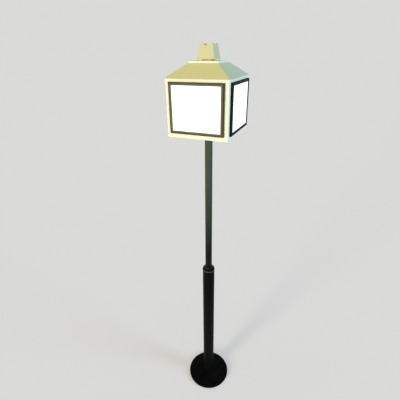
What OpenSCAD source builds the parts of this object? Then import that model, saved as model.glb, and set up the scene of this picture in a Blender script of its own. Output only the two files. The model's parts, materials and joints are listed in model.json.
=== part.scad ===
// Lantern floor lamp: a square sheet-metal lantern with a hipped roof and a small chimney,
// on a two-step round pole over a low round base.
// The origin is the centre of the base where it meets the floor. Z is up, and the lantern's
// front side faces -Y. All sizes are in millimetres.

/* [Overall] */
// Height from the floor to the top of the chimney
overall_h = 1470; // [1300:10:1600]
// Sheet thickness of the lantern's body, floor and roof
sheet = 1.2; // [0.8:0.1:2]

/* [Base] */
// Outer diameter of the base
base_d = 188.8; // [160:0.2:260]
// Thickness of the felt ring under the base
pad_t = 1.5; // [1:0.5:3]
// Height of the rim where its rounded shoulder begins
rim_z = 5; // [4:0.5:10]
// Radius of the rim's rounded shoulder
rim_round = 2.5; // [1:0.5:4]
// Height of the flat seat in the middle that carries the pole
seat_z = 16; // [14:1:24]
// Diameter of that seat
seat_d = 60; // [54:1:80]
// Height of the mains lead's inlet above the floor
inlet_z = 60; // [50:5:120]

/* [Pole] */
// Outer diameter of the lower tube
lower_d = 48; // [40:1:60]
// Outer diameter of the upper tube
upper_d = 26; // [20:1:30]
// Wall of both tubes
tube_wall = 1.5; // [1:0.1:2]
// Height of the lower tube's rolled rim
step_z = 649.3; // [500:0.1:800]
// Radius of the rolled rim's bead
bead_r = 1.9; // [1.5:0.1:2.5]
// Height of the collar's head above the rolled rim
collar_head_h = 10; // [8:0.5:16]
// Radius of the collar's rounded shoulder
collar_round = 5; // [2:0.5:7]
// Length of the collar's spigot inside the lower tube
collar_spigot = 50; // [30:5:80]

/* [Lantern body] */
// Width of the square body
body_w = 194; // [160:1:240]
// Height of the body
body_h = 168; // [140:1:220]
// Height of the chimney, the gap below it, the ridge plate and the roof together
top_h = 88; // [80:1:100]
// Width of the corner posts beside the windows
post_w = 12.5; // [10:0.5:20]
// Height of the band under the windows
bottom_band = 13.5; // [10:0.5:20]
// Height of the band over the windows
top_band = 8.5; // [8:0.5:16]
// Outside bend radius of the body's four corners
corner_r = 2; // [1.5:0.5:4]

/* [Windows] */
// Width of the black frame's face
frame_w = 9; // [7:0.5:14]
// How far the frame stands proud of the body
frame_proud = 7; // [4:0.5:10]
// Bevel along the frame's outer and inner front edges
frame_bevel = 1; // [0.5:0.1:1.5]
// How far the pane lies behind the frame's face
pane_recess = 2; // [1.5:0.1:3]
// Thickness of the opal pane
pane_t = 3; // [2:0.5:4]

/* [Roof] */
// Overhang of the eaves beyond the body on each side
eave = 2.5; // [1:0.5:10]
// Height of the hipped roof
roof_h = 38; // [30:1:60]
// Width of the square ridge plate
plate_w = 93.4; // [80:0.2:120]
// Height of the ridge plate's lip
plate_h = 5; // [3:0.5:8]
// Depth of the skirt that locates the roof in the body
skirt_h = 12; // [8:1:20]

/* [Chimney] */
// Height of the shadow gap between the ridge plate and the chimney
neck_h = 3.5; // [2.5:0.5:8]
// Width of the chimney at its foot
chimney_foot_w = 55.4; // [45:0.2:70]
// Width of the chimney at its rim
chimney_rim_w = 41.8; // [34:0.2:60]
// Width of the dip in each side of the rim
notch_w = 31; // [20:1:34]
// Depth of that dip
notch_h = 5; // [2:0.5:8]

/* [Lamp holder and bulb] */
// Outer diameter of the lamp holder
holder_d = 41; // [38:0.5:44]
// Diameter of the bulb's screw cap
bulb_cap_d = 26.4; // [26:0.1:27]
// Diameter of the bulb's globe
bulb_d = 60; // [45:1:70]
// Height of the bulb's centre above the lantern's floor
bulb_z = 111; // [106:1:116]

/* [Hidden] */
$fn = 96;

// Clearances: between pieces that are assembled, and a cut's overshoot.
fit = 0.1;
loose = 0.3;
over = 1;

// The four sides, as turns about the pole.
FRONT = 0;
RIGHT = 90;
BACK = 180;
LEFT = 270;
SIDES = [FRONT, RIGHT, BACK, LEFT];

// Base
base_r = base_d / 2;
seat_r = seat_d / 2;
cover_t = 1.2;
dome_slope = atan((seat_z - rim_z - rim_round) / (base_r - rim_round - seat_r));
pad_inset = 6;
pad_r = base_r - pad_inset;
pad_hole_r = 24;
recess_r = 17;
recess_z = 8.5;

// Threaded tube and its hexagon nuts and washers
nipple_r = 4.95;
nipple_bore_r = 3.4;
nipple_hole_r = nipple_r + fit;
nut_flats = 17;
nut_h = 4;
washer_r = 10.5;
washer_t = 1.2;
nipple_low_z = pad_t + 0.5;
nipple_past_plug = 6;

// Pole
lower_r = lower_d / 2;
upper_r = upper_d / 2;
lower_in_r = lower_r - tube_wall;
upper_in_r = upper_r - tube_wall;
plug_h = 8;
rim_r = lower_r + 0.8;
collar_r = rim_r - 1.2;
collar_top_z = step_z + collar_head_h;
bush_wall = 1.9;
bush_lip_r = upper_r + 3;
bush_lip_h = 2.4;
bush_lip_round = 1.2;
bush_z = step_z - collar_spigot + 6;
upper_tube_z = bush_z - 34;
screw_z = step_z - 24;
screw_r = 2.5;
screw_key_r = 1.4;
screw_key_h = 2;

// Mains lead's inlet and the lead inside the pole
gland_hole_r = 6;
gland_flange_r = 8.5;
gland_bore_r = 3.6;
gland_out = 3;
gland_in = 2.5;
lead_r = 2.2;
lead_bend = 17;

// Lantern
body_z = overall_h - top_h - body_h;
body_top_z = body_z + body_h;
half_w = body_w / 2;
inner_w = body_w - 2 * sheet;
return_w = 9;
neck_flange_r = 30;
neck_flange_h = 9;
neck_flange_t = 2;
neck_flange_rim = 4;
upper_top_z = body_z - neck_flange_t - loose;
tray_lip = 12;
tray_w = inner_w - 2 * fit;
vent_r = 2.5;
vent_ring_r = 58;
vent_count = 16;

// Windows
window_w = body_w - 2 * post_w;
window_h = body_h - bottom_band - top_band;
window_z = body_z + bottom_band + window_h / 2;
frame_step = 3;
frame_depth = frame_proud + sheet;
pane_lap = 3;
sight_w = window_w - 2 * frame_w;
sight_h = window_h - 2 * frame_w;
pane_w = sight_w + 2 * pane_lap;
pane_h = sight_h + 2 * pane_lap;
clip_t = 0.8;
clip_w = 12;
clip_leg = 9;
clip_lap = 6;
clip_pitch = 70;

// Roof
eave_w = body_w + 2 * eave;
roof_slope = atan(2 * roof_h / (eave_w - plate_w));
roof_run = sheet / sin(roof_slope);
roof_top_z = body_top_z + roof_h;
plate_top_z = roof_top_z + plate_h;
skirt_w = body_w - 2 * return_w - 1;
shelf_inset = 2;
shelf_w = eave_w - 2 * (roof_run + shelf_inset);

// Chimney
neck_w = 30;
chimney_z = plate_top_z + neck_h;
chimney_h = overall_h - chimney_z;
notch_round = 9;
bolt_r = 2.5;
bolt_head_r = 4.5;
bolt_head_h = 2.6;
bolt_tail = 7;
bolt_nut_flats = 8;
bolt_nut_h = 4;

// Lamp holder and bulb
floor_top_z = body_z + sheet;
holder_z = floor_top_z + washer_t + nut_h + 1.5;
holder_r = holder_d / 2;
holder_wall = 2;
holder_neck_r = 9;
holder_neck_h = 10;
holder_dome_h = 5;
holder_dome_lip = 3;
holder_split_z = holder_z + 27;
holder_top_z = holder_z + 58;
insert_h = 6;
pocket_r = 3.2;
pocket_x = 9;
pocket_roof = 2;
contact_w = 6;
contact_l = 14;
contact_t = 0.8;
contact_button_r = 2.6;
contact_button_h = 3.1;
rib_count = 24;
rib_r = 0.9;
rib_sunk = 0.3;
rib_foot = 2;
rib_head = 6;
shell_recess_h = 5;
bulb_cap_r = bulb_cap_d / 2;
bulb_cap_h = 25;
bulb_cap_z = holder_split_z + 6;
bulb_centre_z = body_z + bulb_z;
bulb_cap_tip_r = 5;
bulb_cap_tip_h = 1.7;
bulb_cap_slope = 1.5;
bulb_neck_r = bulb_cap_r + 0.8;
bulb_neck_h = 5;
bulb_join = 38;
nipple_top_z = holder_z + holder_neck_h - 1;
lead_top_z = holder_z + holder_neck_h + 6;

// ---------- Shared shapes ----------

// A washer, tube or ring standing on z.
module ring(outer_r, inner_r, z, h) {
    translate([0, 0, z])
        difference() {
            cylinder(r = outer_r, h = h);
            translate([0, 0, -over]) cylinder(r = inner_r, h = h + 2 * over);
        }
}

// A hexagon nut standing on z.
module hex_nut(flats, bore_r, z, h) {
    translate([0, 0, z])
        difference() {
            cylinder(d = flats / cos(30), h = h, $fn = 6);
            translate([0, 0, -over]) cylinder(r = bore_r, h = h + 2 * over);
        }
}

// A square of width w with round corners of radius r.
module round_square(w, r) {
    square([w, w - 2 * r], center = true);
    square([w - 2 * r, w], center = true);
    for (x = [-1, 1], y = [-1, 1])
        translate([x * (w / 2 - r), y * (w / 2 - r)]) circle(r = r);
}

// A square frustum on z, from two crossed prisms, so that its hips are true edges.
module frustum(foot_w, top_w, z, h) {
    translate([0, 0, z])
        intersection_for(turn = [0, 90])
            rotate([90, 0, turn])
                linear_extrude(height = max(foot_w, top_w) + 2 * over, center = true)
                    polygon([[-foot_w / 2, 0], [foot_w / 2, 0],
                             [top_w / 2, h], [-top_w / 2, h]]);
}

// A flat rectangular bar in the plane of a side: w wide, h high, from depth y0 to depth y1.
module side_block(w, h, y0, y1) {
    translate([-w / 2, y0, window_z - h / 2]) cube([w, y1 - y0, h]);
}

// A rectangular frustum in the plane of a side: w by h at depth y0, wider and higher by grow
// on each edge at depth y1. A negative grow makes it narrower.
module side_bevel(w, h, y0, y1, grow) {
    reach = max(grow, 0) + over;
    intersection() {
        translate([0, 0, window_z - h / 2 - reach])
            linear_extrude(height = h + 2 * reach)
                polygon([[-w / 2, y0], [w / 2, y0],
                         [w / 2 + grow, y1], [-w / 2 - grow, y1]]);
        translate([-w / 2 - reach, 0, 0])
            rotate([90, 0, 90])
                linear_extrude(height = w + 2 * reach)
                    polygon([[y0, window_z - h / 2], [y0, window_z + h / 2],
                             [y1, window_z + h / 2 + grow], [y1, window_z - h / 2 - grow]]);
    }
}

// ---------- Base ----------

// Section of the base's low dome: a rim, a rounded shoulder and a gentle cone up to the seat.
// The section lies inset inside the outer surface, and starts at z_low.
module dome_section(inset, z_low) {
    shoulder_r = base_r - rim_round + (rim_round - inset) * sin(dome_slope);
    shoulder_z = rim_z + (rim_round - inset) * cos(dome_slope);
    translate([base_r - rim_round, rim_z]) circle(r = rim_round - inset);
    polygon([[0, z_low], [base_r - inset, z_low], [base_r - inset, rim_z],
             [shoulder_r, shoulder_z], [seat_r, seat_z - inset], [0, seat_z - inset]]);
}

module base_pad() {
    color("dimgray") ring(pad_r, pad_hole_r, 0, pad_t);
}

// Cast weight on the felt ring, with a recess below for the nut.
module base_weight() {
    color("black")
        difference() {
            rotate_extrude()
                intersection() {
                    dome_section(cover_t + fit, pad_t);
                    translate([0, pad_t]) square([base_r, seat_z]);
                }
            cylinder(r = recess_r, h = recess_z);
            cylinder(r = nipple_hole_r, h = seat_z + over);
        }
}

// Spun cover over the weight.
module base_cover() {
    color("black")
        difference() {
            rotate_extrude()
                difference() {
                    intersection() {
                        dome_section(0, pad_t);
                        translate([0, pad_t]) square([base_r, seat_z]);
                    }
                    intersection() {
                        dome_section(cover_t, pad_t - over);
                        translate([0, pad_t - over]) square([base_r, seat_z + over]);
                    }
                }
            cylinder(r = nipple_hole_r, h = seat_z + over);
        }
}

module base_washer() {
    color("silver") ring(washer_r, nipple_hole_r, recess_z - washer_t, washer_t);
}

module base_nut() {
    color("silver") hex_nut(nut_flats, nipple_hole_r, recess_z - washer_t - nut_h, nut_h);
}

// Hollow threaded tube that ties the base to the foot of the pole.
module base_nipple() {
    top_z = seat_z + plug_h + nipple_past_plug;
    color("silver") ring(nipple_r, nipple_bore_r, nipple_low_z, top_z - nipple_low_z);
}

// ---------- Pole ----------

// Lower tube with its rolled rim, a hole for the lead's inlet and one for the collar's screw.
module lower_tube() {
    color("black")
        difference() {
            rotate_extrude() {
                translate([lower_in_r, seat_z]) square([tube_wall, step_z - seat_z]);
                translate([rim_r - bead_r, step_z]) circle(r = bead_r);
            }
            translate([0, 0, inlet_z])
                rotate([-90, 0, 0]) cylinder(r = gland_hole_r, h = lower_r + over);
            translate([0, 0, screw_z])
                rotate([-90, 0, 0]) cylinder(r = screw_r + fit, h = lower_r + over);
            translate([0, 0, step_z - bead_r - over])
                cylinder(r = lower_in_r, h = 2 * (bead_r + over));
        }
}

// Plug in the lower tube's foot, with the thread that the base is bolted to.
module foot_plug() {
    color("gray") ring(lower_in_r - fit, nipple_hole_r, seat_z, plug_h);
}

// Rubber grommet in the back of the lower tube, where a mains lead goes in.
module inlet_grommet() {
    color("black")
        translate([0, 0, inlet_z])
            difference() {
                union() {
                    difference() {
                        rotate([-90, 0, 0])
                            cylinder(r = gland_flange_r, h = lower_r + gland_out);
                        cylinder(r = lower_r + fit, h = 4 * gland_flange_r, center = true);
                    }
                    rotate([-90, 0, 0])
                        translate([0, 0, lower_in_r - gland_in])
                            cylinder(r = gland_hole_r - fit, h = gland_in + tube_wall + over);
                }
                rotate([-90, 0, 0]) cylinder(r = gland_bore_r, h = lower_r + gland_out + over);
            }
}

// Collar that steps the pole down: a spigot in the lower tube under a round-shouldered head.
module pole_collar() {
    bore_r = upper_r + bush_wall + fit;
    color("black")
        difference() {
            rotate_extrude() {
                translate([0, step_z - collar_spigot])
                    square([lower_in_r - fit, collar_spigot + bead_r + fit]);
                translate([0, step_z + bead_r])
                    square([collar_r - collar_round, collar_head_h - bead_r]);
                translate([0, step_z + bead_r])
                    square([collar_r, collar_head_h - bead_r - collar_round]);
                translate([collar_r - collar_round, collar_top_z - collar_round])
                    intersection() {
                        circle(r = collar_round);
                        square(collar_round);
                    }
            }
            translate([0, 0, step_z - collar_spigot - over])
                cylinder(r = bore_r, h = collar_spigot + collar_head_h + 2 * over);
            translate([0, 0, screw_z])
                rotate([-90, 0, 0]) cylinder(r = screw_r + fit, h = lower_r + over);
        }
}

// Sleeve between the collar and the upper tube, with a rounded lip on top of the collar.
module collar_bush() {
    color("black")
        difference() {
            rotate_extrude() {
                translate([0, bush_z])
                    square([upper_r + bush_wall, collar_top_z - bush_z + fit]);
                translate([0, collar_top_z])
                    square([bush_lip_r, bush_lip_h - bush_lip_round]);
                translate([0, collar_top_z])
                    square([bush_lip_r - bush_lip_round, bush_lip_h]);
                translate([bush_lip_r - bush_lip_round,
                           collar_top_z + bush_lip_h - bush_lip_round])
                    circle(r = bush_lip_round);
            }
            translate([0, 0, bush_z - over])
                cylinder(r = upper_r + fit / 2, h = collar_top_z - bush_z + bush_lip_h + 2 * over);
        }
}

// Grub screw through the back of the lower tube that clamps the collar.
module collar_screw() {
    tip_y = upper_r + bush_wall + 2 * fit;
    length = lower_r - tip_y;
    color("silver")
        translate([0, tip_y, screw_z])
            rotate([-90, 0, 0])
                difference() {
                    cylinder(r = screw_r, h = length);
                    translate([0, 0, length - screw_key_h])
                        cylinder(r = screw_key_r, h = screw_key_h + over, $fn = 6);
                }
}

module upper_tube() {
    color("black") ring(upper_r, upper_in_r, upper_tube_z, upper_top_z - upper_tube_z);
}

// ---------- Joint of pole and lantern ----------

// Plug in the upper tube's top, with the thread for the lantern's threaded tube.
module neck_plug() {
    color("gray")
        ring(upper_in_r - fit, nipple_hole_r, upper_top_z - plug_h, plug_h);
}

// Pressed cup that spreads the lantern's load: it covers the end of the upper tube.
module neck_flange() {
    color("black")
        translate([0, 0, body_z])
            rotate_extrude()
                polygon([[nipple_hole_r, 0], [neck_flange_r, 0],
                         [neck_flange_r, -neck_flange_t],
                         [neck_flange_r - neck_flange_rim, -neck_flange_t],
                         [upper_r + neck_flange_t + fit, -neck_flange_h],
                         [upper_r + fit, -neck_flange_h],
                         [upper_r + fit, -neck_flange_t],
                         [nipple_hole_r, -neck_flange_t]]);
}

module neck_nipple() {
    low_z = upper_top_z - plug_h - nipple_past_plug;
    color("silver") ring(nipple_r, nipple_bore_r, low_z, nipple_top_z - low_z);
}

module neck_washer() {
    color("silver") ring(washer_r, nipple_hole_r, floor_top_z, washer_t);
}

module neck_nut() {
    color("silver") hex_nut(nut_flats, nipple_hole_r, floor_top_z + washer_t, nut_h);
}

// ---------- Lantern body ----------

// Floor pan with an upturned lip, welded inside the body, and a ring of vent holes.
module floor_tray() {
    color("ivory")
        difference() {
            translate([0, 0, body_z])
                linear_extrude(height = tray_lip) round_square(tray_w, corner_r - sheet + fit);
            translate([0, 0, floor_top_z])
                linear_extrude(height = tray_lip) square(tray_w - 2 * sheet, center = true);
            translate([0, 0, body_z - over]) cylinder(r = nipple_hole_r, h = sheet + 2 * over);
            for (i = [0 : vent_count - 1])
                rotate([0, 0, (i + 0.5) * 360 / vent_count])
                    translate([vent_ring_r, 0, body_z - over])
                        cylinder(r = vent_r, h = sheet + 2 * over);
        }
}

// Folded body: four bands round four windows, with a return along the top for the roof.
module lantern_body() {
    color("ivory")
        difference() {
            translate([0, 0, body_z])
                linear_extrude(height = body_h) round_square(body_w, corner_r);
            translate([0, 0, body_z - over])
                linear_extrude(height = body_h + over - sheet)
                    round_square(inner_w, corner_r - sheet);
            translate([0, 0, body_top_z - 2 * sheet])
                linear_extrude(height = 3 * sheet)
                    square(body_w - 2 * return_w, center = true);
            for (turn = [FRONT, RIGHT])
                rotate([0, 0, turn])
                    side_block(window_w - 2 * frame_step, window_h - 2 * frame_step,
                               -half_w - over, half_w + over);
        }
}

// ---------- Windows ----------

// Moulded frame: a bevelled flange proud of the body, a spigot through the body's window
// and a rebate behind the front lip for the pane.
module window_frame() {
    front_y = -half_w - frame_proud;
    spigot_w = window_w - 2 * frame_step - 2 * fit;
    spigot_h = window_h - 2 * frame_step - 2 * fit;
    splay = frame_bevel + over;
    color([0.09, 0.085, 0.08])
        difference() {
            union() {
                side_bevel(window_w - 2 * frame_bevel, window_h - 2 * frame_bevel,
                           front_y, front_y + frame_bevel, frame_bevel);
                side_block(window_w, window_h, front_y + frame_bevel, -half_w);
                side_block(spigot_w, spigot_h, -half_w, -half_w + sheet);
            }
            side_block(sight_w, sight_h, front_y - over, -half_w + sheet + over);
            side_bevel(sight_w + 2 * splay, sight_h + 2 * splay,
                       front_y - over, front_y + frame_bevel, -splay);
            side_block(pane_w + 2 * loose, pane_h + 2 * loose,
                       front_y + pane_recess, -half_w + sheet + over);
        }
}

module pane() {
    pane_y = -half_w - frame_proud + pane_recess;
    color([1, 0.98, 0.94]) side_block(pane_w, pane_h, pane_y, pane_y + pane_t);
}

// One spring clip, bent in three legs: on the pane, along the rebate and behind the body.
module pane_clip() {
    pane_back_y = -half_w - frame_proud + pane_recess + pane_t;
    wall_x = pane_w / 2 + loose;
    back_y = -half_w + sheet;
    translate([0, 0, -clip_w / 2])
        linear_extrude(height = clip_w)
            polygon([[wall_x - clip_lap, pane_back_y],
                     [wall_x, pane_back_y],
                     [wall_x, back_y],
                     [wall_x + clip_leg, back_y],
                     [wall_x + clip_leg, back_y + clip_t],
                     [wall_x - clip_t, back_y + clip_t],
                     [wall_x - clip_t, pane_back_y + clip_t],
                     [wall_x - clip_lap, pane_back_y + clip_t]]);
}

// Two clips on each upright edge of each window.
module pane_clips() {
    color("silver")
        for (turn = SIDES, hand = [0, 1], level = [-0.5, 0.5])
            rotate([0, 0, turn])
                translate([0, 0, window_z + level * clip_pitch])
                    mirror([hand, 0, 0]) pane_clip();
}

// ---------- Roof ----------

// One side of the hipped roof: a sheet panel, mitred to its neighbours along the hips.
module roof_panel() {
    low = -eave_w / 2;
    high = -plate_w / 2;
    color("ivory")
        intersection() {
            rotate([90, 0, 90])
                linear_extrude(height = eave_w + 2 * over, center = true)
                    polygon([[low, body_top_z], [low + roof_run, body_top_z],
                             [high + roof_run, roof_top_z], [high, roof_top_z]]);
            translate([0, 0, body_top_z - over])
                linear_extrude(height = roof_h + 2 * over)
                    polygon([[0, 0], [-eave_w, -eave_w], [eave_w, -eave_w]]);
        }
}

// Angle frame welded under the eaves: a shelf that rests on the body and a skirt inside it.
module roof_skirt() {
    inner = skirt_w - 2 * sheet;
    color("ivory")
        difference() {
            union() {
                translate([-shelf_w / 2, -shelf_w / 2, body_top_z])
                    cube([shelf_w, shelf_w, sheet]);
                translate([-skirt_w / 2, -skirt_w / 2, body_top_z - skirt_h])
                    cube([skirt_w, skirt_w, skirt_h + sheet]);
            }
            translate([-inner / 2, -inner / 2, body_top_z - skirt_h - over])
                cube([inner, inner, skirt_h + sheet + 2 * over]);
        }
}

// Shallow pan, upside down, that closes the roof.
module ridge_plate() {
    pan_w = plate_w - 2 * sheet;
    color("ivory")
        difference() {
            translate([-plate_w / 2, -plate_w / 2, roof_top_z])
                cube([plate_w, plate_w, plate_h]);
            translate([-pan_w / 2, -pan_w / 2, roof_top_z - over])
                cube([pan_w, pan_w, plate_h - sheet + over]);
            translate([0, 0, roof_top_z]) cylinder(r = bolt_r + fit, h = plate_h + over);
        }
}

// Narrow square neck that lifts the chimney off the plate and leaves a shadow gap.
module chimney_neck() {
    inner = neck_w - 2 * sheet;
    color("ivory")
        difference() {
            translate([-neck_w / 2, -neck_w / 2, plate_top_z]) cube([neck_w, neck_w, neck_h]);
            translate([-inner / 2, -inner / 2, plate_top_z + sheet])
                cube([inner, inner, neck_h]);
            translate([0, 0, plate_top_z - over])
                cylinder(r = bolt_r + fit, h = sheet + 2 * over);
        }
}

// The dip in the rim: a shallow valley between two rounded shoulders.
module notch_section() {
    half = notch_w / 2;
    arc_x = notch_round * sin(notch_angle());
    arc_z = notch_round * (1 - cos(notch_angle()));
    difference() {
        polygon([[-half, over], [-half, 0], [-half + arc_x, -arc_z], [0, -notch_h],
                 [half - arc_x, -arc_z], [half, 0], [half, over]]);
        for (hand = [-1, 1])
            translate([hand * half, -notch_round]) circle(r = notch_round);
    }
}

// Slope of the valley's sides where they leave the shoulders.
function notch_angle() = 2 * atan(notch_h / (notch_w / 2 + sqrt(pow(notch_w / 2, 2)
                         - notch_h * (2 * notch_round - notch_h))));

// Tapered chimney, open at the top, with a folded floor.
module chimney() {
    taper = (chimney_foot_w - chimney_rim_w) / chimney_h;
    inner_foot_w = chimney_foot_w - (2 + taper) * sheet;
    inner_rim_w = chimney_rim_w - 2 * sheet - taper * over;
    color("ivory")
        difference() {
            frustum(chimney_foot_w, chimney_rim_w, chimney_z, chimney_h);
            frustum(inner_foot_w, inner_rim_w, chimney_z + sheet, chimney_h - sheet + over);
            for (turn = [0, 90])
                rotate([90, 0, turn])
                    translate([0, overall_h, 0])
                        linear_extrude(height = 2 * chimney_foot_w, center = true)
                            notch_section();
            translate([0, 0, chimney_z - over])
                cylinder(r = bolt_r + fit, h = sheet + 2 * over);
        }
}

// Bolt that holds the chimney and its neck on the ridge plate.
module chimney_bolt() {
    head_z = chimney_z + sheet;
    low_z = plate_top_z - bolt_tail;
    color("silver") {
        translate([0, 0, head_z]) cylinder(r = bolt_head_r, h = bolt_head_h);
        translate([0, 0, low_z]) cylinder(r = bolt_r, h = head_z - low_z + fit);
    }
}

module chimney_nut() {
    color("silver")
        hex_nut(bolt_nut_flats, bolt_r + fit, plate_top_z - sheet - bolt_nut_h, bolt_nut_h);
}

// ---------- Lamp holder, bulb and lead ----------

// Domed lower half of the holder, screwed on the threaded tube.
module holder_cap() {
    dome_z = holder_z + holder_neck_h + holder_dome_h;
    color([0.93, 0.92, 0.88])
        difference() {
            rotate_extrude()
                polygon([[0, holder_z], [holder_neck_r, holder_z],
                         [holder_neck_r, holder_z + holder_neck_h],
                         [holder_r - holder_dome_lip, dome_z],
                         [holder_r, dome_z + holder_dome_h],
                         [holder_r, holder_split_z], [0, holder_split_z]]);
            rotate_extrude()
                polygon([[0, holder_z + holder_neck_h],
                         [holder_neck_r - holder_wall, holder_z + holder_neck_h],
                         [holder_r - holder_dome_lip - holder_wall, dome_z + over],
                         [holder_r - holder_wall, dome_z + holder_dome_h + over],
                         [holder_r - holder_wall, holder_split_z + over],
                         [0, holder_split_z + over]]);
            translate([0, 0, holder_z - over])
                cylinder(r = nipple_hole_r, h = holder_neck_h + 2 * over);
        }
}

// Ceramic insert with its two terminal pockets.
module holder_insert() {
    color("white")
        difference() {
            translate([0, 0, holder_split_z - insert_h])
                cylinder(r = holder_r - holder_wall - loose, h = insert_h);
            for (x = [-1, 1])
                translate([x * pocket_x, 0, holder_split_z - insert_h - over])
                    cylinder(r = pocket_r, h = insert_h - pocket_roof + over);
        }
}

// Spring contact under the bulb's tip.
module holder_contact() {
    color("gold")
        translate([0, 0, holder_split_z]) {
            translate([-contact_w / 2, contact_w / 2 - contact_l / 2, 0])
                cube([contact_w, contact_l, contact_t]);
            cylinder(r = contact_button_r, h = contact_t + contact_button_h);
        }
}

// Threaded upper half of the holder, with grip ribs round it.
module holder_shell() {
    height = holder_top_z - holder_split_z;
    color([0.93, 0.92, 0.88])
        difference() {
            union() {
                ring(holder_r, bulb_cap_r + loose, holder_split_z, height);
                for (i = [0 : rib_count - 1])
                    rotate([0, 0, i * 360 / rib_count])
                        translate([holder_r - rib_sunk, 0, holder_split_z + rib_foot])
                            cylinder(r = rib_r, h = height - rib_foot - rib_head, $fn = 16);
            }
            translate([0, 0, holder_split_z - over])
                cylinder(r = holder_r - holder_wall - loose, h = over + shell_recess_h);
        }
}

// Screw cap of the bulb, with its rounded tip.
module bulb_cap() {
    color("silver")
        rotate_extrude() {
            translate([0, bulb_cap_z]) square([bulb_cap_r, bulb_cap_h]);
            polygon([[0, bulb_cap_z - bulb_cap_tip_h],
                     [bulb_cap_tip_r, bulb_cap_z - bulb_cap_tip_h],
                     [bulb_cap_r - bulb_cap_slope, bulb_cap_z], [0, bulb_cap_z]]);
        }
}

// Opal bulb: a globe that runs down to the cap in a drawn-in neck.
module bulb_glass() {
    low_z = bulb_cap_z + bulb_cap_h;
    globe_r = bulb_d / 2;
    join_r = globe_r * cos(bulb_join);
    join_z = bulb_centre_z - globe_r * sin(bulb_join);
    color([1, 1, 0.96])
        rotate_extrude() {
            intersection() {
                translate([0, bulb_centre_z]) circle(r = globe_r);
                translate([0, join_z]) square([bulb_d, bulb_d]);
            }
            polygon([[0, low_z], [bulb_neck_r, low_z], [bulb_neck_r, low_z + bulb_neck_h],
                     [join_r, join_z + fit], [0, join_z + fit]]);
        }
}

// Lead inside the pole: it turns up behind the inlet and runs to the lamp holder.
module inner_lead() {
    bend_z = inlet_z + lead_bend;
    color("gray") {
        translate([0, lead_bend, bend_z])
            rotate([0, 90, 0])
                rotate([0, 0, -90])
                    rotate_extrude(angle = 90) translate([lead_bend, 0]) circle(r = lead_r);
        translate([0, 0, bend_z]) cylinder(r = lead_r, h = lead_top_z - bend_z);
    }
}

base_pad();
base_weight();
base_cover();
base_washer();
base_nut();
base_nipple();
lower_tube();
foot_plug();
inlet_grommet();
pole_collar();
collar_bush();
collar_screw();
upper_tube();
neck_plug();
neck_flange();
neck_nipple();
neck_washer();
neck_nut();
floor_tray();
lantern_body();
rotate([0, 0, FRONT]) window_frame();  // window_frame_front
rotate([0, 0, RIGHT]) window_frame();  // window_frame_right
rotate([0, 0, BACK]) window_frame();  // window_frame_back
rotate([0, 0, LEFT]) window_frame();  // window_frame_left
rotate([0, 0, FRONT]) pane();  // pane_front
rotate([0, 0, RIGHT]) pane();  // pane_right
rotate([0, 0, BACK]) pane();  // pane_back
rotate([0, 0, LEFT]) pane();  // pane_left
pane_clips();
rotate([0, 0, FRONT]) roof_panel();  // roof_panel_front
rotate([0, 0, RIGHT]) roof_panel();  // roof_panel_right
rotate([0, 0, BACK]) roof_panel();  // roof_panel_back
rotate([0, 0, LEFT]) roof_panel();  // roof_panel_left
roof_skirt();
ridge_plate();
chimney_neck();
chimney();
chimney_bolt();
chimney_nut();
holder_cap();
holder_insert();
holder_contact();
holder_shell();
bulb_cap();
bulb_glass();
inner_lead();
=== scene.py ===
import json
import math

import bmesh
import bpy
from mathutils import Matrix, Vector

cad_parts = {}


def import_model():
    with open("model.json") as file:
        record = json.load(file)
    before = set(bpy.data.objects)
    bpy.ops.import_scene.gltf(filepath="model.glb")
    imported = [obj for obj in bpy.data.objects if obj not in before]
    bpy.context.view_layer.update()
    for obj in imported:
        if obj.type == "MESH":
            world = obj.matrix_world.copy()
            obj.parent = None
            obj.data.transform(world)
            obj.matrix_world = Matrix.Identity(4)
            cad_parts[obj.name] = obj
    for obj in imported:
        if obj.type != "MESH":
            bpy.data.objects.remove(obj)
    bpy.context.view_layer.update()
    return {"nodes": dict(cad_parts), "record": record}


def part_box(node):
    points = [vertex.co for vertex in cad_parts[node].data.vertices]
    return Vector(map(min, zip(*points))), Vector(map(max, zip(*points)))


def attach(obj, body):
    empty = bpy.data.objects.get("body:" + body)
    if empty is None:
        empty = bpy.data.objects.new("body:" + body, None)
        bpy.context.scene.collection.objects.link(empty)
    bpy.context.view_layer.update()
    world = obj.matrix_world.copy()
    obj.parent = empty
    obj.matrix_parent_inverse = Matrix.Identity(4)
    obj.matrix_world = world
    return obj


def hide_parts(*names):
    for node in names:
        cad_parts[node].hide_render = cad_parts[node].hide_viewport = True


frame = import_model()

MM = 0.001
NODES = frame["nodes"]
SIDES = ("front", "right", "back", "left")

# Photo's camera, solved from the edges of the lamp, in metres and degrees
PICTURE_PX = 400
FOCAL_PX = 296.81
SENSOR_MM = 36.0
CAMERA_AWAY = 0.9644
CAMERA_HEIGHT = 1.4505
CAMERA_AZIMUTH = 21.50
CAMERA_TURN = 1.872
CAMERA_PITCH = 26.665
CAMERA_ROLL = 0.824
CLIP_START = 10 * MM

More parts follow.
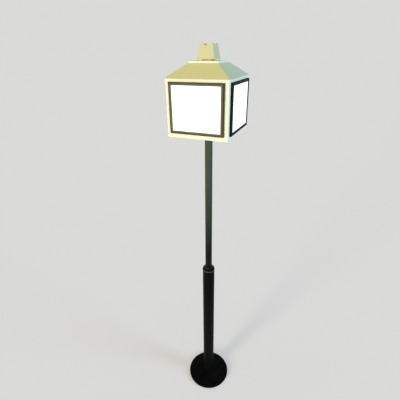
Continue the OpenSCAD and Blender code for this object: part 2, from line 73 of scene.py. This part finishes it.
# Lamps: azimuth from -Y towards +X, and every angle in degrees.
# The back lamp is soft light from behind, and casts no shadow.
LAMPS = {
    "key": dict(azimuth=-22, elevation=9, angle=16, strength=2.62, colour=(1.0, 0.97, 0.84)),
    "fill": dict(azimuth=94, elevation=13, angle=24, strength=2.80, colour=(0.35, 0.60, 0.94),
                 glossy=False),
    "back": dict(azimuth=212, elevation=14, angle=24, strength=1.50, colour=(1.0, 0.97, 0.90),
                 glossy=False, shadow=False),
}
AMBIENT = (0.29, 0.30, 0.30)
FLOOR_TONE = (0.90, 0.86, 0.78)
BACKDROP = (0.70, 0.70, 0.69)
FLOOR_RADIUS = 40.0
FLOOR_SEGMENTS = 96
FLOOR_DROP = 0.2 * MM
CLIP_END = 3 * FLOOR_RADIUS

# Places on the lamp that the finishes go by
BULB_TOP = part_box("bulb_glass")[1]
BULB_RADIUS = BULB_TOP.x
BULB_CENTRE = (0.0, 0.0, BULB_TOP.z - BULB_RADIUS)
BULB_DIM_AT = 58 * MM
PANE_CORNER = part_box("pane_right")[1]
PANE_AWAY = PANE_CORNER.x
PANE_FAR = math.dist(PANE_CORNER, BULB_CENTRE)
BODY_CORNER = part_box("lantern_body")[1].x
RIM_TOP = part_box("lower_tube")[1].z
RIM_CREST = 1.5 * MM
# Heights on the upper tube over which its painted light, as from the lantern above, comes in
TUBE_GLOW_FROM = 0.73
TUBE_GLOW_FULL = 1.08


# ---------- Nodes ----------

def feed(socket, value):
    """Links a pattern to a socket, or sets the socket to a number, a vector or a colour."""
    if isinstance(value, bpy.types.NodeSocket):
        value.id_data.links.new(value, socket)
    elif socket.type == "RGBA":
        socket.default_value = (*value, 1.0)
    else:
        socket.default_value = value


def add_node(tree, kind, inputs=(), **settings):
    """The outputs of a new node. Its inputs are fed by name, or in order from the first."""
    made = tree.nodes.new(kind)
    for key, value in settings.items():
        setattr(made, key, value)
    fed = inputs.items() if isinstance(inputs, dict) else enumerate(inputs)
    for socket, value in fed:
        feed(made.inputs[socket], value)
    return made.outputs


# ---------- Finishes ----------

# Sockets of the Mix node that carry colours. They share their names with its other sockets.
MIX_FIRST = 6
MIX_SECOND = 7
MIX_RESULT = 2


class Finish:
    """A node material: one Principled shader fed by patterns in object space, in metres."""

    def __init__(self, name, colour, roughness, metallic=0.0, specular=0.5):
        self.material = bpy.data.materials.new(name)
        self.material.use_nodes = True
        self.tree = self.material.node_tree
        self.shader = self.tree.nodes["Principled BSDF"]
        self.set("Base Color", colour)
        self.set("Roughness", roughness)
        self.set("Metallic", metallic)
        self.set("Specular IOR Level", specular)
        coordinates = self.add("ShaderNodeTexCoord")
        self.place = coordinates["Object"]
        self.facing = coordinates["Normal"]

    def set(self, name, value):
        """Gives one of the shader's sockets a pattern or a plain value."""
        feed(self.shader.inputs[name], value)

    def add(self, kind, inputs=(), **settings):
        return add_node(self.tree, kind, inputs, **settings)

    def measured(self, size, stretch=(1, 1, 1), shift=(0, 0, 0)):
        """The place counted in steps of size metres, each stretched along X, Y and Z."""
        counted = {"Vector": self.place, "Location": shift,
                   "Scale": [1 / (size * factor) for factor in stretch]}
        return self.add("ShaderNodeMapping", counted)["Vector"]

    def noise(self, size, detail, rough=0.55, stretch=(1, 1, 1), shift=(0, 0, 0)):
        """Cloudy pattern whose features are about size metres across."""
        cloudy = {"Vector": self.measured(size, stretch, shift), "Scale": 1.0,
                  "Detail": detail, "Roughness": rough}
        return self.add("ShaderNodeTexNoise", cloudy)["Fac"]

    def cells(self, size):
        """Distance to the nearest of scattered points that lie about size metres apart."""
        scattered = {"Vector": self.measured(size), "Scale": 1.0}
        return self.add("ShaderNodeTexVoronoi", scattered)["Distance"]

    def spread(self, source, to=(0.0, 1.0), between=(0.3, 0.7)):
        """The part of a pattern that lies between two values, stretched to two others."""
        ranged = {"Value": source, "From Min": between[0], "From Max": between[1],
                  "To Min": to[0], "To Max": to[1]}
        return self.add("ShaderNodeMapRange", ranged)["Result"]

    def maths(self, operation, *values):
        return self.add("ShaderNodeMath", values, operation=operation)["Value"]

    def times(self, first, second):
        return self.maths("MULTIPLY", first, second)

    def vectors(self, operation, *values):
        return self.add("ShaderNodeVectorMath", values, operation=operation)

    def colours(self, factor, first, second):
        """A colour that goes from first to second as factor goes from 0 to 1."""
        mixed = {"Factor": factor, MIX_FIRST: first, MIX_SECOND: second}
        return self.add("ShaderNodeMix", mixed, data_type="RGBA")[MIX_RESULT]

    def bump(self, height, depth, strength):
        """Relief of depth metres. A second call adds to the first."""
        relief = {"Height": height, "Distance": depth, "Strength": strength}
        normal = self.shader.inputs["Normal"]
        if normal.is_linked:
            relief["Normal"] = normal.links[0].from_socket
        self.set("Normal", self.add("ShaderNodeBump", relief)["Normal"])

    def split(self, vector):
        """A vector's X, Y and Z."""
        return self.add("ShaderNodeSeparateXYZ", {"Vector": vector})

    def along(self, axis):
        """A point's X, Y or Z, in metres."""
        return self.split(self.place)[axis]

    def across(self):
        """How far a point lies from the axis in X and in Y together, in metres."""
        away = self.split(self.vectors("ABSOLUTE", self.place)["Vector"])
        return self.maths("ADD", away["X"], away["Y"])

    def inside(self, low, high):
        """How far a point lies inside a box's sides in X or in Z, whichever is less, in metres."""
        away = self.vectors("SUBTRACT", self.place, (low + high) / 2)["Vector"]
        reach = self.vectors("ABSOLUTE", away)["Vector"]
        left = self.split(self.vectors("SUBTRACT", (high - low) / 2, reach)["Vector"])
        return self.maths("MINIMUM", left["X"], left["Z"])

    def away_from(self, point):
        """Distance from a point, in metres."""
        return self.vectors("DISTANCE", self.place, point)["Value"]

    def facing_up(self):
        """1 on what faces up, 0 on upright faces and below."""
        return self.maths("MAXIMUM", self.split(self.facing)["Z"], 0.0)


def scaled(colour, factor):
    return tuple(channel * factor for channel in colour)


# Tone, warmer clouds in it and the dust that lies on it
FRESH_CREAM = (0.890, 0.875, 0.665), (0.890, 0.855, 0.605), (0.700, 0.630, 0.350)
# A darker, yellower copy of the cream for the roof, the chimney and its neck: painted shade and
# warm light on their sloped and sunken faces, in its dust colour too
SHADED_CREAM = (0.600, 0.560, 0.335), (0.600, 0.540, 0.295), (0.770, 0.680, 0.225)
RUBBED_CREAM = (0.88, 0.88, 0.76)
# Paler, cooler tone of painted light from the right
COOL_LIT_CREAM = (0.660, 0.720, 0.545)
# How far short of a corner the rubbing starts, and how far short it is full
CORNER_RUB = (6 * MM, 1.5 * MM)


def cream_paint(name, tone, warm, dust, corner=None, cool_lit=None):
    """Satin powder coat: orange peel, soft clouds of tone and a little dust on top.
    The upright edges that lie at corner from the axis in X and in Y are rubbed paler.
    From the first of two given Ys to the second it goes more and more over to a paler, cooler tone:
    painted cool light from the right."""
    f = Finish(name, tone, roughness=0.4, specular=0.12)
    clouds = f.spread(f.noise(70 * MM, 4), between=(0.35, 0.68))
    painted = f.colours(f.times(clouds, 0.55), tone, warm)
    speck = f.spread(f.noise(1.6 * MM, 2), to=(0.0, 0.16))
    painted = f.colours(speck, painted, scaled(tone, 0.86))
    lying = f.spread(f.noise(22 * MM, 5, 0.6), to=(0.55, 0.85), between=(0.35, 0.70))
    painted = f.colours(f.times(lying, f.facing_up()), painted, dust)
    if corner:
        edge = f.spread(f.across(), between=[2 * corner - short for short in CORNER_RUB])
        patches = f.noise(9 * MM, 4, 0.7, stretch=(1, 1, 2.5))
        patches = f.spread(patches, to=(0.2, 1.0), between=(0.35, 0.6))
        painted = f.colours(f.times(edge, patches), painted, RUBBED_CREAM)
    # Painted light: cooler and paler towards the back
    if cool_lit:
        pale = f.colours(clouds, COOL_LIT_CREAM, scaled(COOL_LIT_CREAM, 0.96))
        cool_share = f.spread(f.along("Y"), to=(0.25, 1.0), between=cool_lit)
        painted = f.colours(cool_share, painted, pale)
    f.set("Base Color", painted)
    f.set("Roughness", f.spread(f.noise(9 * MM, 3), to=(0.42, 0.56)))
    f.bump(f.noise(1.3 * MM, 1, 0.4), depth=0.035 * MM, strength=0.5)
    f.bump(f.noise(32 * MM, 2), depth=0.35 * MM, strength=0.35)
    return f.material


# Colour of the worn band at the rim: partly worn metal, partly a painted highlight
WORN_METAL_HIGHLIGHT = (0.19, 0.185, 0.165)
RUB_AND_HIGHLIGHT_FADE = 0.6 * MM


def black_paint(name, tone, specular, smooth, rubbed=None, painted_glow=None):
    """Fine textured black powder coat with faint handling marks.
    Between two given heights it is worn to the metal in patches, paler and more metallic: partly
    wear, partly a painted highlight on the rim.
    From the first of two given heights to the second it goes over to the lighter tone that follows
    them: painted light, as from the lantern above, lighter towards the top."""
    f = Finish(name, tone, roughness=smooth, specular=specular)
    clouds = f.spread(f.noise(24 * MM, 4, stretch=(1, 1, 2.4)), between=(0.4, 0.75))
    grains = f.spread(f.noise(0.8 * MM, 2), to=(0.0, 0.4), between=(0.45, 0.75))

    def mottled(base, in_clouds, in_grains):
        clouded = f.colours(clouds, base, scaled(base, in_clouds))
        return f.colours(grains, clouded, scaled(base, in_grains))

    painted = mottled(tone, 2.0, 3.0)
    # Painted light: lighter towards the top, as from the lantern above
    if painted_glow:
        low, high, glow_tone = painted_glow
        share = f.spread(f.along("Z"), between=(low, high))
        painted = f.colours(share, painted, mottled(glow_tone, 1.25, 1.5))
    marks = f.noise(7 * MM, 5, 0.7, stretch=(1, 1, 5))
    rough = f.spread(marks, to=(smooth - 0.06, smooth + 0.10), between=(0.35, 0.7))
    # Worn band at the rim: partly wear to the metal, partly a painted highlight
    if rubbed:
        low, high = rubbed
        above = f.spread(f.along("Z"), between=(low - RUB_AND_HIGHLIGHT_FADE, low + RUB_AND_HIGHLIGHT_FADE))
        below = f.spread(f.along("Z"), to=(1.0, 0.0), between=(high - RUB_AND_HIGHLIGHT_FADE, high + RUB_AND_HIGHLIGHT_FADE))
        patches = f.spread(f.noise(5 * MM, 4, 0.7), to=(0.45, 1.0), between=(0.35, 0.6))
        worn = f.times(f.times(above, below), patches)
        rough = f.maths("SUBTRACT", rough, f.times(worn, 0.2))
        painted = f.colours(worn, painted, WORN_METAL_HIGHLIGHT)
        f.set("Metallic", f.times(worn, 0.5))
    f.set("Base Color", painted)
    f.set("Roughness", rough)
    texture(f)
    return f.material


def texture(f):
    """The fine relief of a textured powder coat."""
    f.bump(f.noise(0.75 * MM, 2, 0.6), depth=0.05 * MM, strength=0.6)


def base_paint():
    """The pole's coat on the base, with dust specks that have settled on it."""
    tone = (0.0014, 0.0014, 0.0014)
    dust = (0.030, 0.029, 0.026)
    f = Finish("base_paint", tone, roughness=0.45, specular=0.03)
    film = f.spread(f.noise(30 * MM, 4), to=(0.0, 0.15), between=(0.42, 0.72))
    painted = f.colours(f.times(film, f.facing_up()), tone, dust)
    specks = f.spread(f.cells(8 * MM), to=(0.55, 0.0), between=(0.03, 0.10))
    painted = f.colours(f.times(specks, f.facing_up()), painted, dust)
    f.set("Base Color", painted)
    f.set("Roughness", f.spread(f.noise(12 * MM, 4), to=(0.40, 0.55)))
    texture(f)
    return f.material


# How far inside the front frame's outer edge its painted glow from the panes starts, and how far in
# it is full
GLOW_BAND = (1.0 * MM, 8.0 * MM)


def frame_plastic(name, tone, worn, specular, pane_glow=None):
    """Moulded brown-black plastic with a fine satin grain.
    In the bars of the front frame it goes over to a lighter tone from their outer to their inner
    edges: painted light, the glow of the lit panes."""
    f = Finish(name, tone, roughness=0.4, specular=specular)
    clouds = f.spread(f.noise(26 * MM, 4), to=(0.0, 0.8), between=(0.4, 0.75))
    plastic = f.colours(clouds, tone, worn)
    if pane_glow:
        # Painted light: the lit panes' glow on the front frame's bars
        inner = f.spread(f.inside(*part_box("window_frame_front")), between=GLOW_BAND)
        plastic = f.colours(inner, plastic, f.colours(clouds, pane_glow, scaled(pane_glow, 1.2)))
    f.set("Base Color", plastic)
    f.set("Roughness", f.spread(f.noise(5 * MM, 4, 0.6), to=(0.36, 0.5)))
    f.bump(f.noise(0.35 * MM, 2), depth=0.02 * MM, strength=0.5)
    return f.material


def black_plastic():
    """Shiny moulded black plastic, slightly clouded."""
    tone = (0.010, 0.010, 0.010)
    f = Finish("black_plastic", tone, roughness=0.3)
    f.set("Base Color", f.colours(f.noise(6 * MM, 3), tone, scaled(tone, 1.8)))
    f.set("Roughness", f.spread(f.noise(4 * MM, 4), to=(0.24, 0.36)))
    f.bump(f.noise(0.5 * MM, 2), depth=0.012 * MM, strength=0.4)
    return f.material


def opal(name, glow, near, far, bright, dim):
    """Opal plastic lit from behind: bright at near from the bulb's centre, and dim at far."""
    tone = (0.90, 0.89, 0.85)
    f = Finish(name, tone, roughness=0.28, specular=0.4)
    f.set("Base Color", f.colours(f.noise(40 * MM, 2), tone, scaled(tone, 0.97)))
    f.set("Emission Color", glow)
    light = f.spread(f.away_from(BULB_CENTRE), to=(bright, dim), between=(near, far))
    cloud = f.spread(f.noise(30 * MM, 2), to=(0.985, 1.015))
    f.set("Emission Strength", f.times(light, cloud))
    f.set("Roughness", f.spread(f.noise(8 * MM, 3), to=(0.24, 0.32)))
    f.bump(f.noise(6 * MM, 2), depth=0.02 * MM, strength=0.3)
    return f.material


def plated_metal(name, tone, cast, rough):
    """Plated or bare metal: a fine grain and a cast of tarnish."""
    f = Finish(name, tone, roughness=rough, metallic=1.0)
    cloud = f.spread(f.noise(5 * MM, 4), to=(0.0, 0.7))
    f.set("Base Color", f.colours(cloud, tone, cast))
    grain = f.noise(0.6 * MM, 4, 0.6)
    f.set("Roughness", f.spread(grain, to=(rough - 0.08, rough + 0.10)))
    f.bump(grain, depth=0.008 * MM, strength=0.5)
    return f.material


def cast_iron():
    """Bare cast iron with a little rust."""
    tone = (0.045, 0.044, 0.042)
    rust = (0.075, 0.050, 0.035)
    f = Finish("cast_iron", tone, roughness=0.7, metallic=0.4)
    rusty = f.spread(f.noise(16 * MM, 5), between=(0.5, 0.8))
    f.set("Base Color", f.colours(rusty, tone, rust))
    f.set("Roughness", f.spread(f.noise(3 * MM, 4), to=(0.6, 0.85)))
    f.bump(f.noise(1.4 * MM, 4, 0.65), depth=0.25 * MM, strength=0.7)
    return f.material


def felt():
    """Pressed fibres that lie along X and along Y."""
    tone = (0.018, 0.018, 0.019)
    fibre = (0.055, 0.054, 0.052)
    f = Finish("felt", tone, roughness=0.95, specular=0.1)
    threads = f.noise(0.25 * MM, 4, 0.7, stretch=(1, 6, 1))
    crossed = f.noise(0.25 * MM, 4, 0.7, stretch=(6, 1, 1), shift=(3.1, 1.7, 0))
    both = f.maths("MAXIMUM", threads, crossed)
    f.set("Base Color", f.colours(f.spread(both, between=(0.5, 0.8)), tone, fibre))
    f.set("Sheen Weight", 0.4)
    f.bump(both, depth=0.15 * MM, strength=0.8)
    return f.material


def moulded(name, tone, rough, grain=0.4 * MM, depth=0.015 * MM, specular=0.5):
    """Plain moulded material: slight clouding and a fine grain."""
    f = Finish(name, tone, roughness=rough, specular=specular)
    f.set("Base Color", f.colours(f.spread(f.noise(11 * MM, 4)), tone, scaled(tone, 0.9)))
    f.set("Roughness", f.spread(f.noise(3 * MM, 3), to=(rough - 0.05, rough + 0.06)))
    f.bump(f.noise(grain, 2), depth=depth, strength=0.5)
    return f.material


# One finish for each material slot
FINISHES = {
    "cream_paint": cream_paint("cream_paint", *FRESH_CREAM),
    "black_paint": black_paint("black_paint", (0.0024, 0.0024, 0.0022),
                               specular=0.05, smooth=0.42),
    "frame_plastic": frame_plastic("frame_plastic", (0.012, 0.011, 0.009),
                                   worn=(0.022, 0.019, 0.015), specular=0.02),
    "black_plastic": black_plastic(),
    "opal": opal("opal", (1.0, 0.985, 0.95), PANE_AWAY, PANE_FAR, bright=0.86, dim=0.60),
    "bulb_opal": opal("bulb_opal", (1.0, 0.95, 0.84), BULB_RADIUS, BULB_DIM_AT,
                      bright=0.90, dim=0.45),
    "steel": plated_metal("steel", (0.60, 0.60, 0.58), (0.50, 0.49, 0.44), rough=0.34),
    "brass": plated_metal("brass", (0.72, 0.52, 0.22), (0.60, 0.42, 0.18), rough=0.28),
    "bulb_metal": plated_metal("bulb_metal", (0.70, 0.69, 0.66), (0.60, 0.59, 0.56), rough=0.22),
    "iron": cast_iron(),
    "felt": felt(),
    "rubber": moulded("rubber", (0.012, 0.012, 0.012), rough=0.62,
                      grain=0.5 * MM, depth=0.02 * MM, specular=0.3),
    "holder_plastic": moulded("holder_plastic", (0.78, 0.76, 0.68), rough=0.42),
    "porcelain": moulded("porcelain", (0.84, 0.83, 0.79), rough=0.16,
                         grain=2.0 * MM, depth=0.01 * MM),
    "lead_jacket": moulded("lead_jacket", (0.20, 0.20, 0.20), rough=0.45),
}

# Nodes that look different from the rest of their slot
# Painted shade: the darker, yellower copy of the cream
SHADED_PAINT = cream_paint("shaded_cream", *SHADED_CREAM)
NODE_FINISHES = {
    "base_cover": base_paint(),
    # The lower tube's rim: partly worn metal, partly a painted highlight
    "lower_tube": black_paint("rubbed_black_highlight", (0.0022, 0.0022, 0.0020),
                              specular=0.03, smooth=0.42,
                              rubbed=(RIM_TOP - RIM_CREST, RIM_TOP + RIM_CREST)),
    # The upper tube: painted light, lighter towards its top
    "upper_tube": black_paint("satin_black_painted_glow", (0.0040, 0.0040, 0.0035),
                              specular=0.08, smooth=0.38,
                              painted_glow=(TUBE_GLOW_FROM, TUBE_GLOW_FULL, (0.058, 0.061, 0.043))),
    # The front frame is a lighter copy of the frame plastic: painted light from the front, where
    # the other frames stand in shade
    "window_frame_front": frame_plastic("front_lit_plastic", (0.046, 0.036, 0.014),
                                        worn=(0.062, 0.050, 0.024), specular=0.10,
                                        pane_glow=(0.155, 0.128, 0.082)),
    "lantern_body": cream_paint("rubbed_cream", *FRESH_CREAM, corner=BODY_CORNER),
    # The right roof panel: painted cool light from the right, growing towards the back
    "roof_panel_right": cream_paint("cool_lit_cream", *SHADED_CREAM,
                                    cool_lit=(-BODY_CORNER, BODY_CORNER)),
    # Roof panels, chimney neck and chimney: painted shade
    "roof_panel_front": SHADED_PAINT,
    "roof_panel_back": SHADED_PAINT,
    "roof_panel_left": SHADED_PAINT,
    "chimney_neck": SHADED_PAINT,
    "chimney": SHADED_PAINT,
}


def dress_nodes():
    """Every CAD node gets its own or its slot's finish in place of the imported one."""
    slot_of = {s["node"]: s["material_slot"] for s in frame["record"]["subparts"]}
    for name, node in NODES.items():
        node.data.materials.clear()
        node.data.materials.append(NODE_FINISHES.get(name, FINISHES[slot_of[name]]))


# ---------- Softened edges ----------

WELD_REACH = 0.002 * MM
FLAT_WITHIN = 0.5
SHARP_FROM = 28
EDGE_SEGMENTS = 2
FLAT_WEIGHT = 80

EDGE_WIDTHS = {
    "lantern_body": 0.35 * MM,
    "floor_tray": 0.3 * MM,
    "roof_skirt": 0.3 * MM,
    "ridge_plate": 0.5 * MM,
    "chimney_neck": 0.3 * MM,
    "chimney": 0.4 * MM,
}
for side in SIDES:
    EDGE_WIDTHS["window_frame_" + side] = 0.3 * MM
    EDGE_WIDTHS["roof_panel_" + side] = 0.2 * MM

# Nodes that keep their edges, and whose seams only need closing
WELDED = ("base_cover", "bulb_glass")


def weld(name):
    """Joins the corners of a node's mesh that lie on one place, which also ends its slivers."""
    joined = NODES[name].modifiers.new("weld", "WELD")
    joined.merge_threshold = WELD_REACH


def soften(name, width):
    """Rounds a sheet or moulded node's sharp edges a little, as paint and moulding do.
    Faces count as one up to FLAT_WITHIN degrees, and edges are sharp from SHARP_FROM degrees."""
    weld(name)
    node = NODES[name]
    flat = node.modifiers.new("flat", "DECIMATE")
    flat.decimate_type = "DISSOLVE"
    flat.angle_limit = math.radians(FLAT_WITHIN)
    edge = node.modifiers.new("edge", "BEVEL")
    edge.width = width
    edge.segments = EDGE_SEGMENTS
    edge.limit_method = "ANGLE"
    edge.angle_limit = math.radians(SHARP_FROM)
    shade = node.modifiers.new("shade", "WEIGHTED_NORMAL")
    shade.weight = FLAT_WEIGHT


# ---------- Fine pieces ----------

def mesh_piece(name, body, slot, vertices, faces):
    """A smooth mesh in its slot's finish that rides on a body."""
    mesh = bpy.data.meshes.new(name)
    mesh.from_pydata(vertices, [], faces)
    mesh.update()
    for face in mesh.polygons:
        face.use_smooth = True
    mesh.materials.append(FINISHES[slot])
    piece = bpy.data.objects.new(name, mesh)
    bpy.context.scene.collection.objects.link(piece)
    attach(piece, body)
    return piece


def turned(name, body, slot, profile, steps=64, wave=None):
    """A closed turned solid about the pole's axis from (radius, height) pairs, bottom to top.
    wave(height, angle) is added to the radius, so that a thread can wind round it."""
    vertices = [(0.0, 0.0, profile[0][1])]
    for radius, height in profile:
        for step in range(steps):
            angle = 2 * math.pi * step / steps
            reach = radius + (wave(height, angle) if wave else 0.0)
            vertices.append((reach * math.cos(angle), reach * math.sin(angle), height))
    vertices.append((0.0, 0.0, profile[-1][1]))

    def corner(ring, step):
        return 1 + ring * steps + step % steps

    last = len(profile) - 1
    top = len(vertices) - 1
    faces = [(0, corner(0, step + 1), corner(0, step)) for step in range(steps)]
    for ring in range(last):
        for step in range(steps):
            faces.append((corner(ring, step), corner(ring, step + 1),
                          corner(ring + 1, step + 1), corner(ring + 1, step)))
    faces += [(top, corner(last, step), corner(last, step + 1)) for step in range(steps)]
    return mesh_piece(name, body, slot, vertices, faces)


# The bulb's screw cap
CAP_LOW, CAP_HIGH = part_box("bulb_cap")
CAP_RADIUS = CAP_HIGH.x
TIP_HEIGHT = 1.7 * MM
SHELL_FOOT = CAP_LOW.z + TIP_HEIGHT
SKIRT_HEIGHT = 5.5 * MM
SKIRT_INSET = 0.35 * MM
SKIRT_SLOPE = 0.6 * MM
THREAD_TOP = CAP_HIGH.z - SKIRT_HEIGHT
THREAD_PITCH = 3.62 * MM
THREAD_DEPTH = 0.75 * MM
THREAD_RUN_OUT = 1.6 * MM
THREAD_ROWS = 84
THREAD_STEPS = 96


def thread(height, angle):
    """How far the rolled thread takes the shell's radius in. It runs out at both ends."""
    ends = (height - SHELL_FOOT) / THREAD_RUN_OUT, (THREAD_TOP - height) / THREAD_RUN_OUT
    turn = 2 * math.pi * height / THREAD_PITCH - angle
    return THREAD_DEPTH * (math.cos(turn) - 1) / 2 * max(0.0, min(1.0, *ends))


def bulb_screw_shell():
    """Rolled screw shell with a plain skirt, in place of the plain cap."""
    profile = [(CAP_RADIUS - THREAD_DEPTH, SHELL_FOOT)]
    for row in range(THREAD_ROWS + 1):
        profile.append((CAP_RADIUS, SHELL_FOOT + (THREAD_TOP - SHELL_FOOT) * row / THREAD_ROWS))
    skirt = CAP_RADIUS - SKIRT_INSET
    profile += [(skirt, THREAD_TOP + SKIRT_SLOPE), (skirt, CAP_HIGH.z)]
    shell = turned("bulb_screw_shell", "bulb", "bulb_metal", profile, THREAD_STEPS, thread)
    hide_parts("bulb_cap")


def bulb_insulator():
    """Black cone between the shell and the tip."""
    profile = [(4.8 * MM, CAP_LOW.z + 0.5 * MM),
               (6.5 * MM, CAP_LOW.z + 0.7 * MM),
               (CAP_RADIUS - 1.8 * MM, SHELL_FOOT - 0.1 * MM),
               (CAP_RADIUS - 2.2 * MM, SHELL_FOOT + 0.4 * MM)]
    turned("bulb_insulator", "bulb", "black_plastic", profile)


def bulb_tip():
    """Rounded drop of solder under the cap."""
    profile = [(1.5 * MM, CAP_LOW.z),
               (3.2 * MM, CAP_LOW.z + 0.15 * MM),
               (4.4 * MM, CAP_LOW.z + 0.6 * MM),
               (4.6 * MM, CAP_LOW.z + 1.2 * MM)]
    turned("bulb_tip", "bulb", "bulb_metal", profile)


# ---------- Stage ----------

def sun(name, azimuth, elevation, angle, strength, colour, glossy=True, shadow=True):
    """A sun that shines from an azimuth and an elevation, and looks angle degrees wide."""
    lamp = bpy.data.lights.new(name, "SUN")
    lamp.use_shadow = shadow
    lamp.energy = strength
    lamp.angle = math.radians(angle)
    lamp.color = colour
    placed = bpy.data.objects.new(name, lamp)
    placed.rotation_euler = (math.radians(90 - elevation), 0, math.radians(azimuth))
    placed.visible_glossy = glossy
    bpy.context.scene.collection.objects.link(placed)


def floor_light():
    """What the open floor gives back in the light of the suns and the world."""
    lit = list(AMBIENT)
    for lamp in LAMPS.values():
        share = lamp["strength"] * math.sin(math.radians(lamp["elevation"])) / math.pi
        lit = [light + share * channel for light, channel in zip(lit, lamp["colour"])]
    return [tone * light for tone, light in zip(FLOOR_TONE, lit)]


def is_view(tree):
    """1 for what the camera sees, straight or in a mirror or glass."""
    path = add_node(tree, "ShaderNodeLightPath")
    view = path["Is Camera Ray"]
    for ray in ("Is Glossy Ray", "Is Transmission Ray"):
        view = add_node(tree, "ShaderNodeMath", (view, path[ray]), operation="MAXIMUM")["Value"]
    return view


def world():
    """Even light all round, which looks like the backdrop."""
    made = bpy.data.worlds.new("studio")
    bpy.context.scene.world = made
    made.use_nodes = True
    tree = made.node_tree
    tree.nodes.clear()
    light = add_node(tree, "ShaderNodeBackground", {"Color": AMBIENT})["Background"]
    seen = add_node(tree, "ShaderNodeBackground", {"Color": BACKDROP})["Background"]
    mixed = add_node(tree, "ShaderNodeMixShader", (is_view(tree), light, seen))["Shader"]
    add_node(tree, "ShaderNodeOutputWorld", {"Surface": mixed})


def floor_finish():
    """A pale finish that keeps shadows and elsewhere looks like the backdrop.
    It is clear from below, so that the base can be seen from there."""
    material = bpy.data.materials.new("floor")
    material.use_nodes = True
    tree = material.node_tree
    tree.nodes.clear()
    rest = [shown - lit for shown, lit in zip(BACKDROP, floor_light())]
    lift = add_node(tree, "ShaderNodeEmission", {"Color": rest, "Strength": is_view(tree)})
    matt = add_node(tree, "ShaderNodeBsdfDiffuse", {"Color": FLOOR_TONE})
    lifted = add_node(tree, "ShaderNodeAddShader", (matt["BSDF"], lift["Emission"]))["Shader"]
    clear = add_node(tree, "ShaderNodeBsdfTransparent")["BSDF"]
    below = add_node(tree, "ShaderNodeNewGeometry")["Backfacing"]
    mixed = add_node(tree, "ShaderNodeMixShader", (below, lifted, clear))["Shader"]
    add_node(tree, "ShaderNodeOutputMaterial", {"Surface": mixed})
    return material


def floor():
    """A wide round floor, just under the lamp."""
    mesh = bpy.data.meshes.new("floor")
    shape = bmesh.new()
    bmesh.ops.create_circle(shape, cap_ends=True, segments=FLOOR_SEGMENTS, radius=FLOOR_RADIUS)
    bmesh.ops.translate(shape, verts=shape.verts, vec=(0, 0, -FLOOR_DROP))
    shape.to_mesh(mesh)
    shape.free()
    mesh.materials.append(floor_finish())
    placed = bpy.data.objects.new("floor", mesh)
    bpy.context.scene.collection.objects.link(placed)


def camera():
    """The photo's camera, which looks down, a little past the pole and a little askew."""
    azimuth = math.radians(CAMERA_AZIMUTH)
    eye = Vector((CAMERA_AWAY * math.sin(azimuth), -CAMERA_AWAY * math.cos(azimuth), CAMERA_HEIGHT))
    heading = math.atan2(-eye.y, -eye.x) + math.radians(CAMERA_TURN)
    pitch = math.radians(CAMERA_PITCH)
    roll = math.radians(CAMERA_ROLL)
    ahead = Vector((math.cos(heading) * math.cos(pitch),
                    math.sin(heading) * math.cos(pitch), -math.sin(pitch)))
    level = Vector((math.sin(heading), -math.cos(heading), 0))
    upright = level.cross(ahead)
    right = level * math.cos(roll) - upright * math.sin(roll)
    up = level * math.sin(roll) + upright * math.cos(roll)
    turn = Matrix((right, up, -ahead)).transposed()
    data = bpy.data.cameras.new("camera")
    data.sensor_width = SENSOR_MM
    data.lens = FOCAL_PX * SENSOR_MM / PICTURE_PX
    data.clip_start = CLIP_START
    data.clip_end = CLIP_END
    placed = bpy.data.objects.new("camera", data)
    placed.matrix_world = Matrix.Translation(eye) @ turn.to_4x4()
    bpy.context.scene.collection.objects.link(placed)
    bpy.context.scene.camera = placed


camera()
world()
floor()
for lamp_name, lamp_facts in LAMPS.items():
    sun(lamp_name, **lamp_facts)
bpy.context.scene.view_settings.view_transform = "Standard"

dress_nodes()
for node_name, edge_width in EDGE_WIDTHS.items():
    soften(node_name, edge_width)
for node_name in WELDED:
    weld(node_name)
bulb_screw_shell()
bulb_insulator()
bulb_tip()
